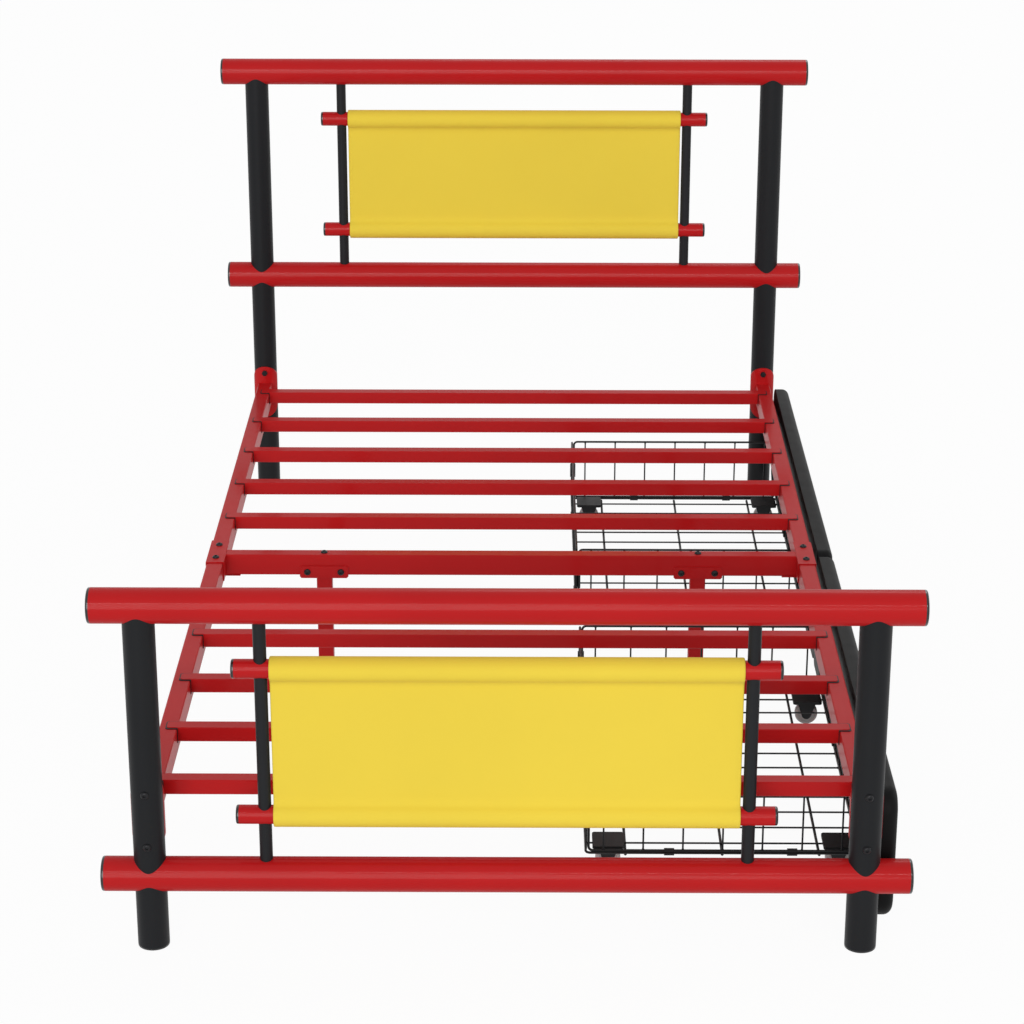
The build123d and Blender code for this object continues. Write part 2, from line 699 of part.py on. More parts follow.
def caster_brackets(y):
    """Each caster's fork, the plate above the floor wires and the axle pin."""
    pieces = []
    outline = chamfer(Rectangle(caster_plate_size, caster_plate_size).vertices(), caster_plate_corner)
    plate = extrude(outline, caster_plate_thickness)
    axle = Rot(90, 0, 0) * Cylinder(axle_diameter / 2, fork_width + 2 * axle_proud)
    for x, row in caster_places(y):
        pieces.append(Pos(x, row, 0) * caster_fork())
        pieces.append(Pos(x, row, plate_bottom) * plate)
        pieces.append(Pos(x, row, axle_height) * axle)
    return pieces


def caster_wheel(x, y):
    """A plain wheel with a bore for its axle."""
    wheel = Cylinder(wheel_diameter / 2, wheel_width)
    wheel -= Cylinder(axle_diameter / 2 + wheel_bore_fit, wheel_width)
    return Pos(x, y, axle_height) * Rot(90, 0, 0) * wheel


def build_frame():
    """Both ends, the side rails, the slats and the centre beam."""
    for name, end, lower_rail in (("foot", -1, foot_rail_height), ("head", 1, head_rail_height)):
        y = end * end_y
        save(f"{name}_lower_rail", end_rail(y, lower_rail))
        save(f"{name}_top_rail", end_rail(y, lower_rail + rail_spacing))
        save(f"{name}_left_post", *post(-1, y, lower_rail))
        save(f"{name}_right_post", *post(1, y, lower_rail))
        save(f"{name}_panel_uprights", *panel_uprights(y, lower_rail))
        save(f"{name}_panel_bars", *panel_bars(y, lower_rail))
        save(f"{name}_fabric_panel", fabric_panel(y, lower_rail))
        save(f"{name}_left_side_rail", side_rail_half(-1, end))
        save(f"{name}_right_side_rail", side_rail_half(1, end))
    save("tube_end_caps", *end_caps(-end_y, foot_rail_height), *end_caps(end_y, head_rail_height))
    save("floor_feet", *floor_feet())
    save("rail_end_plates", *[end_plate(side, end) for side in (-1, 1) for end in (-1, 1)])
    save("side_rail_joiners", joiner(-1), joiner(1))
    save("centre_beam", centre_beam())
    save("centre_legs", *[centre_leg(x) for x in spaced(2, leg_span)])
    save("frame_bolts", *frame_bolts())


def build_slats():
    """Ten slats in two rows of five, on each side of the centre beam, and their pads."""
    steps = [step for step in range(-slats_each_side, slats_each_side + 1) if step != 0]
    for number, step in enumerate(steps, start=1):
        save(f"slat_{number:02d}", slat(step * slat_pitch))
    save("slat_end_pads", *[slat_pad(side, step * slat_pitch) for step in steps for side in (-1, 1)])


def build_drawer(name, end):
    """One drawer: its basket, fixings, front board, casters and wheels."""
    y = end * drawer_y
    save(f"{name}_basket_floor", *basket_floor(y))
    save(f"{name}_basket_foot_wall", *side_wall(y, -1))
    save(f"{name}_basket_head_wall", *side_wall(y, 1))
    save(f"{name}_basket_inner_wall", *long_wall(y, -1))
    save(f"{name}_basket_outer_wall", *long_wall(y, 1))
    save(f"{name}_basket_fixings", *basket_clips(y), *board_saddles(y))
    save(f"{name}_drawer_front", drawer_front(y, end))
    save(f"{name}_caster_brackets", *caster_brackets(y))
    for number, (x, row) in enumerate(caster_places(y), start=1):
        save(f"{name}_wheel_{number}", caster_wheel(x, row))


os.makedirs("parts", exist_ok=True)
build_frame()
build_slats()
build_drawer("rear", 1)
build_drawer("front", -1)
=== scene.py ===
import math

import bpy
import numpy as np
from mathutils import Matrix, Vector


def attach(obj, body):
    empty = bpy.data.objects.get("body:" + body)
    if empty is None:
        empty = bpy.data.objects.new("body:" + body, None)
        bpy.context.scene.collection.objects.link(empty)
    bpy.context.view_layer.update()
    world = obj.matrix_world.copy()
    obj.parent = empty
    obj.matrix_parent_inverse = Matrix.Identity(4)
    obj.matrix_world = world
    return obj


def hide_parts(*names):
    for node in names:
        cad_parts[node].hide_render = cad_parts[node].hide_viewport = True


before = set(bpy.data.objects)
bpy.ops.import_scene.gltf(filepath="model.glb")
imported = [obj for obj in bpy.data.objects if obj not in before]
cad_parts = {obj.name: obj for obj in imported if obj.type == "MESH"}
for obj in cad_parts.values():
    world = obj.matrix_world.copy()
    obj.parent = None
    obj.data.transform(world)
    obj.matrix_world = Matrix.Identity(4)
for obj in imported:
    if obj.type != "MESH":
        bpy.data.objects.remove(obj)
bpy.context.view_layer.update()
carried = [thing for thing in bpy.data.objects if thing.type == "MESH"]

# Sizes are in millimetres, in the frame of the part. Meshes are scaled to metres as they are made.
METRES = 0.001

# Camera of the photograph, solved from the straight tubes
camera_place = (0.0263, -4.6089, 2.0652)
camera_yaw = -0.306
camera_pitch = 20.873
camera_roll = 0.060
camera_lens = 98.436
camera_sensor = 36.0

# The floor's half width in metres, its grey, and the tint of the light from the sky
floor_reach = 16.0
floor_grey = 0.86
sky_tint = (0.97, 0.985, 1.0)

# Thick tubes of the two ends
end_y = 980.0
post_x = 520.0
post_radius = 23.25
tube_wall = 1.5
rail_radius = 25.75
rail_reach = 586.0
rail_spacing = 424.0
lower_rails = {"foot": 115.0, "head": 459.0}
end_sides = {"foot": -1, "head": 1}
foot_rim = 2.5

# Straight sides round each kind of round piece
tube_sides = 72
bar_sides = 56
upright_sides = 40
bolt_sides = 36
wheel_sides = 64
rod_sides = 12
wire_sides = 10
sharp_edge_angle = 32.0

# Thin tubes of the two panels
upright_x = 350.0
upright_radius = 9.5
thin_wall = 1.2
bar_radius = 14.0
bar_reach = 387.3
upper_bar_drop = 96.5
bar_spacing = 230.5
weld_gap = 0.05

# Cloth drawn over the bars
cloth_half_width = 337.0
cloth_half_thickness = 2.0
cloth_sleeve_radius = 16.1
cloth_hollow_radius = 16.0
cloth_layer_offset = 2.05
cloth_fold_margin = 24.0
cloth_wave_depth = 0.8
cloth_wave_turns = 2.3
cloth_wave_start = 0.7
cloth_tug_depth = 3.0
cloth_tug_fade = 9.0
cloth_tug_spacing = 43.0
cloth_thread = 1.4
cloth_sleeve_steps = 28
cloth_hollow_steps = 12
cloth_face_steps = 42
cloth_across_steps = 96

# Caps in the tube ends
cap_rim = 4.5
cap_plug_depth = 16.0
cap_plug_gap = 0.1
cap_plug_face = 2.0
cap_round = 2.6
cap_round_angles = (22, 45, 68, 90)
cap_dome = 0.25
cap_face_drop = 0.05
cap_face_radius = 1.0

# Bolts
bolt_radius = 3.75
bolt_head_radius = 6.0
bolt_head_height = 3.5
socket_radius = 2.7
socket_depth = 2.2
socket_floor = 1.0
socket_bevel = 0.15
socket_edge = 0.7
bolt_head_curve = ((2.0, 0.25), (0.7, 1.3))
bolt_chamfer = 0.8
nut_height = 5.0
nut_setback = 1.0
seat_gap = 0.05
post_bolt_heights = (169.0, 253.0)
post_bolt_length = 55.15
short_bolt_length = 14.0
joiner_bolt_y = 30.0
joiner_bolt_seat = 231.9
beam_bolt_x = 496.55
beam_bolt_seat = 189.9
leg_x = 331.0
leg_bolt_seat = 230.05
leg_bolt_length = 46.1
flange_bolt_offset = 29.6
flange_bolt_seat = -15.1
flange_bolt_height = 198.2
flange_bolt_length = 33.65

# Drawers
drawer_y = {"rear": 476.0, "front": -476.0}
drawer_ends = {"rear": 1, "front": -1}
basket_x = 329.7
basket_width = 424.0
basket_length = 600.0
floor_height = 43.0
wall_bottom = 47.1
wall_top = 166.0
rod_radius = 2.0
wire_radius = 1.5
bearer_radius = 2.25
bearer_height = 39.2
rod_bend = 7.0
floor_wires = 11
floor_wire_spacing = 53.1
bearers = 3
bearer_spacing = 149.0
bearer_round = 0.4
end_wires = 7
end_wire_spacing = 61.0
end_wall_gap = 8.2
side_wires = 9
side_wire_spacing = 60.0
weld_flare = 0.6
weld_step = 0.15
weld_edge = 0.5
weld_reach = 1.8
board_back = 543.3
board_thickness = 28.0
board_bottom = 21.0
board_height = 210.0
board_length = 950.0
board_end_radius = 35.0
board_seam_radius = 20.0
board_edge_radius = 14.0
board_back_round = 0.8
caster_x = (154.7, 510.7)
caster_row = 265.5
wheel_radius = 19.5

# Half of a wheel's section from its hole to its tread: radius, and distance from the wheel's middle
wheel_section = [(2.6, 7.5), (6.2, 7.5), (6.9, 6.6), (13.6, 6.3), (14.4, 7.2), (16.8, 7.2), (18.4, 6.5),
                 (19.2, 5.2), (wheel_radius, 3.2)]


def aim_camera():
    """Sets the camera by yaw, pitch and roll as they were solved from the photograph."""
    yaw, pitch, roll = (math.radians(angle) for angle in (camera_yaw, camera_pitch, camera_roll))
    level = math.cos(pitch)
    ahead = Vector((math.sin(yaw) * level, math.cos(yaw) * level, -math.sin(pitch)))
    flat_right = Vector((math.cos(yaw), -math.sin(yaw), 0))
    flat_up = flat_right.cross(ahead)
    right = math.cos(roll) * flat_right + math.sin(roll) * flat_up
    up = math.cos(roll) * flat_up - math.sin(roll) * flat_right
    camera = bpy.data.objects.new("camera", bpy.data.cameras.new("camera"))
    camera.data.sensor_width = camera_sensor
    camera.data.lens = camera_lens
    turn = Matrix((right, up, -ahead)).transposed().to_4x4()
    camera.matrix_world = Matrix.Translation(camera_place) @ turn
    bpy.context.scene.collection.objects.link(camera)
    bpy.context.scene.camera = camera


def add_lamp(name, place, target, width, height, power):
    """A soft rectangular lamp that faces a point."""
    data = bpy.data.lights.new(name, "AREA")
    data.shape = "RECTANGLE"
    data.size = width
    data.size_y = height
    data.energy = power
    lamp = bpy.data.objects.new(name, data)
    lamp.location = place
    lamp.rotation_euler = (Vector(target) - Vector(place)).to_track_quat("-Z", "Y").to_euler()
    bpy.context.scene.collection.objects.link(lamp)


def add_sun(name, place, spread, strength):
    """Light of one strength everywhere, from a round patch of sky that spreads over an angle in degrees."""
    data = bpy.data.lights.new(name, "SUN")
    data.angle = math.radians(spread)
    data.energy = strength
    lamp = bpy.data.objects.new(name, data)
    lamp.rotation_euler = Vector(place).to_track_quat("Z", "Y").to_euler()
    bpy.context.scene.collection.objects.link(lamp)


def seen_directly(nodes, links):
    """A value of one for camera, mirror and glass rays and zero for the light that bounces."""
    path = nodes.new("ShaderNodeLightPath")
    first = nodes.new("ShaderNodeMath")
    first.operation = "MAXIMUM"
    links.new(path.outputs["Is Camera Ray"], first.inputs[0])
    links.new(path.outputs["Is Glossy Ray"], first.inputs[1])
    second = nodes.new("ShaderNodeMath")
    second.operation = "MAXIMUM"
    links.new(first.outputs[0], second.inputs[0])
    links.new(path.outputs["Is Transmission Ray"], second.inputs[1])
    return second.outputs[0]


def white_world(glow):
    """A white studio: plain white where it is seen, and a softer white as light."""
    world = bpy.data.worlds.new("studio")
    world.use_nodes = True
    nodes, links = world.node_tree.nodes, world.node_tree.links
    light = nodes["Background"]
    light.inputs["Color"].default_value = (*sky_tint, 1)
    light.inputs["Strength"].default_value = glow
    seen = nodes.new("ShaderNodeBackground")
    seen.inputs["Color"].default_value = (1, 1, 1, 1)
    mix = nodes.new("ShaderNodeMixShader")
    links.new(seen_directly(nodes, links), mix.inputs["Fac"])
    links.new(light.outputs[0], mix.inputs[1])
    links.new(seen.outputs[0], mix.inputs[2])
    links.new(mix.outputs[0], nodes["World Output"].inputs["Surface"])
    bpy.context.scene.world = world


def pale_floor(shade_kept):
    """A wide pale floor that stays near white where it is seen and keeps a part of its shadows."""
    mesh = bpy.data.meshes.new("floor")
    corners = [(x * floor_reach, y * floor_reach, 0) for x, y in ((-1, -1), (1, -1), (1, 1), (-1, 1))]
    mesh.from_pydata(corners, [], [(0, 1, 2, 3)])
    floor = bpy.data.objects.new("floor", mesh)
    bpy.context.scene.collection.objects.link(floor)
    paint = bpy.data.materials.new("floor_white")
    paint.use_nodes = True
    nodes, links = paint.node_tree.nodes, paint.node_tree.links
    nodes.clear()
    matt = nodes.new("ShaderNodeBsdfDiffuse")
    matt.inputs["Color"].default_value = (floor_grey, floor_grey, floor_grey, 1)
    glow = nodes.new("ShaderNodeEmission")
    glow.inputs["Color"].default_value = (1, 1, 1, 1)
    part = nodes.new("ShaderNodeMath")
    part.operation = "MULTIPLY"
    part.inputs[1].default_value = 1 - shade_kept
    links.new(seen_directly(nodes, links), part.inputs[0])
    mix = nodes.new("ShaderNodeMixShader")
    links.new(part.outputs[0], mix.inputs["Fac"])
    links.new(matt.outputs[0], mix.inputs[1])
    links.new(glow.outputs[0], mix.inputs[2])
    out = nodes.new("ShaderNodeOutputMaterial")
    links.new(mix.outputs[0], out.inputs["Surface"])
    mesh.materials.append(paint)


def noise(nodes, links, vector, scale, detail):
    """A noise texture over a vector."""
    texture = nodes.new("ShaderNodeTexNoise")
    texture.inputs["Scale"].default_value = scale
    texture.inputs["Detail"].default_value = detail
    links.new(vector, texture.inputs["Vector"])
    return texture.outputs["Fac"]


def surface(name, colour, roughness, drift=0.06, drift_scale=5.0, grain=600.0, height=0.00002,
            strength=0.4, stretch=(1, 1, 1), **sockets):
    """A shader whose colour and roughness drift over the surface, with a fine grain as its bump."""
    made = bpy.data.materials.new(name)
    made.use_nodes = True
    nodes, links = made.node_tree.nodes, made.node_tree.links
    shader = nodes["Principled BSDF"]
    for socket, value in sockets.items():
        shader.inputs[socket.replace("_", " ")].default_value = value
    place = nodes.new("ShaderNodeTexCoord").outputs["Object"]
    slow = noise(nodes, links, place, drift_scale, 3)
    ramp = nodes.new("ShaderNodeValToRGB")
    ramp.color_ramp.elements[0].position = 0.3
    ramp.color_ramp.elements[1].position = 0.7
    ramp.color_ramp.elements[0].color = [value * (1 - drift) for value in colour] + [1]
    ramp.color_ramp.elements[1].color = [min(1, value * (1 + drift)) for value in colour] + [1]
    links.new(slow, ramp.inputs["Fac"])
    links.new(ramp.outputs["Color"], shader.inputs["Base Color"])
    rough = nodes.new("ShaderNodeMapRange")
    rough.inputs["To Min"].default_value = roughness * 0.88
    rough.inputs["To Max"].default_value = roughness * 1.12
    links.new(noise(nodes, links, place, 8 * drift_scale, 4), rough.inputs["Value"])
    links.new(rough.outputs["Result"], shader.inputs["Roughness"])
    spread = nodes.new("ShaderNodeMapping")
    spread.inputs["Scale"].default_value = stretch
    links.new(place, spread.inputs["Vector"])
    bump = nodes.new("ShaderNodeBump")
    bump.inputs["Strength"].default_value = strength
    bump.inputs["Distance"].default_value = height
    links.new(noise(nodes, links, spread.outputs["Vector"], grain, 2), bump.inputs["Height"])
    links.new(bump.outputs["Normal"], shader.inputs["Normal"])
    return made


def woven(name, colour, thread):
    """The cloth: a plain weave of crossing threads as its bump, over a slow drift of colour."""
    made = surface(name, colour, 0.8, drift=0.025, drift_scale=3.0, Sheen_Weight=0.05, Sheen_Roughness=0.5,
                   Specular_IOR_Level=0.15)
    nodes, links = made.node_tree.nodes, made.node_tree.links
    place = nodes.new("ShaderNodeTexCoord").outputs["Object"]
    weave = nodes.new("ShaderNodeMath")
    weave.operation = "MAXIMUM"
    for socket, direction in enumerate(("X", "Z")):
        bands = nodes.new("ShaderNodeTexWave")
        bands.bands_direction = direction
        bands.inputs["Scale"].default_value = 2 * math.pi / (20 * thread * METRES)
        bands.inputs["Distortion"].default_value = 0.6
        links.new(place, bands.inputs["Vector"])
        links.new(bands.outputs["Fac"], weave.inputs[socket])
    bump = nodes["Bump"]
    bump.inputs["Distance"].default_value = 0.00025
    links.new(weave.outputs[0], bump.inputs["Height"])
    return made


def grid(points, wrap_rows, wrap_columns):
    """Four sided faces over a table of points, joined round where a side wraps."""
    rows, columns = points.shape[:2]
    index = np.arange(rows * columns).reshape(rows, columns)
    if wrap_rows:
        index = np.vstack([index, index[:1]])
    if wrap_columns:
        index = np.hstack([index, index[:, :1]])
    corners = [index[:-1, :-1], index[1:, :-1], index[1:, 1:], index[:-1, 1:]]
    return np.stack(corners, axis=-1).reshape(-1, 4)


def volume(points, faces):
    """Six times the volume inside closed faces, negative where they face inward."""
    total = 0.0
    for group in faces:
        corners = points[group]
        for k in range(1, group.shape[1] - 1):
            total += np.einsum("ij,ij->", corners[:, 0], np.cross(corners[:, k], corners[:, k + 1]))
    return total


def closed(points, ring=False):
    """A closed part from rows of points that go round: capped at both ends, or joined into a ring."""
    count = points.shape[0] * points.shape[1]
    faces = [grid(points, ring, True)]
    if not ring:
        around = points.shape[1]
        faces += [np.arange(around)[None], np.arange(count - 1, count - around - 1, -1)[None]]
    flat = points.reshape(-1, 3)
    if volume(flat, faces) < 0:
        faces = [group[:, ::-1] for group in faces]
    return flat, faces


def axes_of(direction):
    """Three square unit vectors, the last along a direction."""
    ahead = np.array(direction, float)
    ahead /= np.linalg.norm(ahead)
    helper = np.array([0, 0, 1.0]) if abs(ahead[2]) < 0.9 else np.array([1.0, 0, 0])
    side = np.cross(helper, ahead)
    side /= np.linalg.norm(side)
    return side, np.cross(ahead, side), ahead


def turned(profile, place, direction, sides, ring=False, flats=0):
    """A part turned round an axis: each profile point is a radius and a distance along the axis.
    The first rows that flats counts are hexagons, whose corners have the row's radius."""
    side, up, ahead = axes_of(direction)
    angle = np.linspace(0, 2 * math.pi, sides, endpoint=False)
    radius, along = np.array(profile, float).T
    reach = np.repeat(radius[:, None], sides, axis=1)
    reach[:flats] *= math.cos(math.pi / 6) / np.cos(angle % (math.pi / 3) - math.pi / 6)
    circle = np.cos(angle)[:, None] * side + np.sin(angle)[:, None] * up
    points = np.array(place) + along[:, None, None] * ahead + reach[:, :, None] * circle
    return closed(points, ring)


def pipe(start, end, outer, inner, sides):
    """An open tube: the outer wall, one cut end, the inner wall and the other cut end."""
    length = np.linalg.norm(np.subtract(end, start))
    profile = [(outer, 0), (outer, length), (inner, length), (inner, 0)]
    return turned(profile, start, np.subtract(end, start), sides, ring=True)


def coped(x, y, low, high, outer, inner, sides):
    """An upright tube cut to the tubes that it meets. low and high give a height and the radius of the
    crossing tube: at a distance d from its middle plane the cut stands sqrt(radius^2 - d^2) from its
    axis."""
    angle = np.linspace(0, 2 * math.pi, sides, endpoint=False)
    rows = []
    cuts = ((outer, low, 1), (outer, high, -1), (inner, high, -1), (inner, low, 1))
    for radius, (height, crossing), away in cuts:
        rise = np.sqrt(np.maximum(0, crossing ** 2 - (radius * np.sin(angle)) ** 2))
        circle = [x + radius * np.cos(angle), y + radius * np.sin(angle), height + away * rise]
        rows.append(np.stack(circle, axis=1))
    return closed(np.array(rows), ring=True)


def rounded_outline(low, high, radii, inset=0.0, steps=12):
    """A rectangle between two corners with its own radius at each corner, drawn in by an inset."""
    centres = [(high[0], high[1], -1, -1, 0), (low[0], high[1], 1, -1, 90), (low[0], low[1], 1, 1, 180),
               (high[0], low[1], -1, 1, 270)]
    points = []
    for (x, y, toward_x, toward_y, start), radius in zip(centres, radii):
        angle = np.radians(np.linspace(start, start + 90, steps))
        middle = np.array([x + toward_x * radius, y + toward_y * radius])
        points.append(middle + (radius - inset) * np.stack([np.cos(angle), np.sin(angle)], axis=1))
    return np.concatenate(points)


def in_plane(outline, place, along, up):
    """Flat points set into space by two directions."""
    return np.array(place) + outline[:, :1] * np.array(along) + outline[:, 1:] * np.array(up)


def bent_rod(width, height, place, along, up):
    """A closed rod loop with bent corners, a round section carried along its line."""
    half = np.array([width / 2 - rod_radius, height / 2 - rod_radius])
    line = in_plane(rounded_outline(-half, half, [rod_bend] * 4, steps=7), place, along, up)
    normal = np.cross(along, up)
    ahead = np.roll(line, -1, axis=0) - np.roll(line, 1, axis=0)
    side = np.cross(ahead, normal)
    side /= np.linalg.norm(side, axis=1)[:, None]
    angle = np.linspace(0, 2 * math.pi, rod_sides, endpoint=False)
    circle = np.cos(angle)[:, None] * side[:, None] + np.sin(angle)[:, None] * normal
    return closed(line[:, None] + rod_radius * circle, ring=True)


def welded_wire(start, end, radius):
    """A straight round wire that widens a little where it is welded at each end."""
    length = np.linalg.norm(np.subtract(end, start))
    wide = radius + weld_flare
    profile = [(wide, 0), (wide - weld_step, weld_edge), (radius, weld_reach), (radius, length - weld_reach),
               (wide - weld_step, length - weld_edge), (wide, length)]
    return turned(profile, start, np.subtract(end, start), wire_sides)


def spaced(count, spacing):
    """Places of a centred row."""
    return [spacing * (index - (count - 1) / 2) for index in range(count)]


def dress(name, parts, look, body, slot, *nodes):
    """Makes one object of closed parts, sets it on its body and lets it stand for its CAD nodes."""
    starts = np.cumsum([0] + [len(points) for points, _ in parts])
    groups = [group + start for (_, faces), start in zip(parts, starts) for group in faces]
    loops = np.concatenate([group.ravel() for group in groups]).astype(np.int32)
    counts = np.concatenate([np.full(len(group), group.shape[1]) for group in groups])
    firsts = np.concatenate([[0], np.cumsum(counts)[:-1]]).astype(np.int32)
    points = np.concatenate([points for points, _ in parts]) * METRES
    mesh = bpy.data.meshes.new(name)
    mesh.vertices.add(len(points))
    mesh.vertices.foreach_set("co", points.ravel())
    mesh.loops.add(len(loops))
    mesh.loops.foreach_set("vertex_index", loops)
    mesh.polygons.add(len(firsts))
    mesh.polygons.foreach_set("loop_start", firsts)
    mesh.polygons.foreach_set("use_smooth", np.ones(len(firsts), bool))
    mesh.update(calc_edges=True)
    mesh.set_sharp_from_angle(angle=math.radians(sharp_edge_angle))
    mesh.materials.append(look)
    piece = bpy.data.objects.new(name, mesh)
    bpy.context.scene.collection.objects.link(piece)
    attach(piece, body)
    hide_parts(*nodes)
    return piece


def bar_heights(end):
    """Heights of the upper and lower thin bar of an end."""
    upper = lower_rails[end] + rail_spacing - upper_bar_drop
    return upper, upper - bar_spacing


def make_rails(end):
    """The two thick rails of an end."""
    y = end_sides[end] * end_y
    for kind, height in (("lower", lower_rails[end]), ("top", lower_rails[end] + rail_spacing)):
        part = pipe((-rail_reach, y, height), (rail_reach, y, height), rail_radius, rail_radius - tube_wall,
                    tube_sides)
        dress(f"{end}_{kind}_rail_round", [part], red, "bed_frame", "red_enamel", f"{end}_{kind}_rail")


def make_posts(end):
    """The posts of an end, each in a length under and a length over the lower rail."""
    y = end_sides[end] * end_y
    low, high = lower_rails[end], lower_rails[end] + rail_spacing
    cut = rail_radius + weld_gap
    for side, sign in (("left", -1), ("right", 1)):
        x = sign * post_x
        inner = post_radius - tube_wall
        under = coped(x, y, (foot_rim, 0), (low, cut), post_radius, inner, tube_sides)
        over = coped(x, y, (low, cut), (high, cut), post_radius, inner, tube_sides)
        dress(f"{end}_{side}_post_round", [under, over], black, "bed_frame", "black_enamel",
              f"{end}_{side}_post")


def make_panel_tubes(end):
    """The thin uprights and bars of an end."""
    y = end_sides[end] * end_y
    upper, lower = bar_heights(end)
    thick, thin = rail_radius + weld_gap, bar_radius + weld_gap
    levels = [(lower_rails[end], thick), (lower, thin), (upper, thin),
              (lower_rails[end] + rail_spacing, thick)]
    hollow = upright_radius - thin_wall
    uprights = []
    for x in (-upright_x, upright_x):
        for below, above in zip(levels, levels[1:]):
            uprights.append(coped(x, y, below, above, upright_radius, hollow, upright_sides))
    dress(f"{end}_uprights_round", uprights, pebbled, "bed_frame", "black_enamel", f"{end}_panel_uprights")
    bars = []
    for z in (upper, lower):
        ends = (-bar_reach, y, z), (bar_reach, y, z)
        bars.append(pipe(*ends, bar_radius, bar_radius - thin_wall, bar_sides))
    dress(f"{end}_bars_round", bars, red, "bed_frame", "red_enamel", f"{end}_panel_bars")


def tube_cap(place, direction, radius, wall):
    """A cap with a rounded rim and a plug in the tube, its face slightly domed."""
    plug = radius - wall - cap_plug_gap
    profile = [(plug - cap_plug_face, -cap_plug_depth), (plug, -cap_plug_depth), (plug, 0), (radius, 0),
               (radius, cap_rim - cap_round)]
    for angle in np.radians(cap_round_angles):
        inward = cap_round * (1 - math.cos(angle))
        profile.append((radius - inward, cap_rim - cap_round + (cap_round - cap_dome) * math.sin(angle)))
    profile += [(0.5 * radius, cap_rim - cap_face_drop), (cap_face_radius, cap_rim)]
    return turned(profile, place, direction, bar_sides)


def make_caps():
    """The caps of every rail and bar."""
    caps = []
    for end, sign in end_sides.items():
        rail_heights = (lower_rails[end], lower_rails[end] + rail_spacing)
        rails = [(height, rail_reach, rail_radius, tube_wall) for height in rail_heights]
        bars = [(height, bar_reach, bar_radius, thin_wall) for height in bar_heights(end)]
        for height, reach, radius, wall in rails + bars:
            for side in (-1, 1):
                place = (side * reach, sign * end_y, height)
                caps.append(tube_cap(place, (side, 0, 0), radius, wall))
    dress("tube_caps_round", caps, cap_black, "bed_frame", "cap_plastic", "tube_end_caps")


def bolt(seat, direction, length, nutted):
    """A button head with a hexagon socket, its shank, and a nut near the shank's end."""
    top = -bolt_head_height
    profile = [(socket_floor, top + socket_depth), (socket_radius, top + socket_depth),
               (socket_radius, top + socket_bevel), (socket_radius + socket_edge, top)]
    profile += [(bolt_head_radius - inset, top + drop) for inset, drop in bolt_head_curve]
    profile += [(bolt_head_radius, -bolt_chamfer), (bolt_head_radius, 0), (bolt_radius, 0),
                (bolt_radius, length - bolt_chamfer), (bolt_radius - bolt_chamfer, length)]
    parts = [turned(profile, seat, direction, bolt_sides, flats=3)]
    if nutted:
        start = np.array(seat) + (length - nut_height - nut_setback) * np.array(direction)
        hole = bolt_radius + seat_gap
        sides = [(bolt_head_radius, 0), (bolt_head_radius, nut_height), (hole, nut_height), (hole, 0)]
        parts.append(turned(sides, start, direction, bolt_sides, ring=True, flats=2))
    return parts


def make_bolts():
    """Every bolt and nut of the frame."""
    parts = []
    for side in (-1, 1):
        for end in (-1, 1):
            for height in post_bolt_heights:
                seat = (side * post_x, end * (end_y + post_radius + seat_gap), height)
                parts += bolt(seat, (0, -end, 0), post_bolt_length, True)
            seat = (side * post_x, end * joiner_bolt_y, joiner_bolt_seat)
            parts += bolt(seat, (0, 0, -1), short_bolt_length, False)
        parts += bolt((side * beam_bolt_x, 0, beam_bolt_seat), (0, 0, 1), short_bolt_length, False)
        parts += bolt((side * leg_x, 0, leg_bolt_seat), (0, 0, -1), leg_bolt_length, False)
        for offset in (-flange_bolt_offset, flange_bolt_offset):
            seat = (side * leg_x + offset, flange_bolt_seat, flange_bolt_height)
            parts += bolt(seat, (0, 1, 0), flange_bolt_length, True)
    dress("bolts_round", parts, bolt_black, "bed_frame", "bolt_black", "frame_bolts")


def cloth_loop(upper, lower):
    """The cloth's line in the YZ plane: an arc round each bar, a hollow arc that leaves it without a
    corner, and a straight face between, mirrored front to back."""
    reach = cloth_sleeve_radius + cloth_hollow_radius
    side = cloth_layer_offset + cloth_hollow_radius
    drop = math.sqrt(reach ** 2 - side ** 2)
    over = np.linspace(math.pi / 2, math.atan2(-drop, side), cloth_sleeve_steps)
    round_bar = [cloth_sleeve_radius * np.cos(over), upper + cloth_sleeve_radius * np.sin(over)]
    sleeve = np.stack(round_bar, axis=1)
    hollow = np.linspace(math.atan2(drop, -side), math.pi, cloth_hollow_steps)[1:]
    soft = np.stack([side + cloth_hollow_radius * np.cos(hollow),
                     upper - drop + cloth_hollow_radius * np.sin(hollow)], axis=1)
    top = np.concatenate([sleeve, soft])
    bottom = np.stack([top[:, 0], upper + lower - top[:, 1]], axis=1)[::-1]
    heights = np.linspace(top[-1, 1], bottom[0, 1], cloth_face_steps)[1:-1]
    face = np.stack([np.full(len(heights), cloth_layer_offset), heights], axis=1)
    front = np.concatenate([top, face, bottom])
    back = (front * (-1, 1))[::-1][1:-1]
    return np.concatenate([front, back])


def cloth_cut():
    """Stations round the cloth's cut edge: a width across the panel and a distance from its middle layer.
    The cloth is round at its two edges."""
    edge = cloth_half_thickness
    across = np.linspace(-1, 1, cloth_across_steps) * (cloth_half_width - edge)
    thick = np.full(len(across), edge)
    turn = np.radians([60, 30, 0, -30, -60])
    x = np.concatenate([across, cloth_half_width - edge + edge * np.cos(turn), across[::-1],
                        edge - cloth_half_width - edge * np.cos(turn)])
    away = np.concatenate([thick, edge * np.sin(turn), -thick[::-1], -edge * np.sin(turn)])
    return x, away


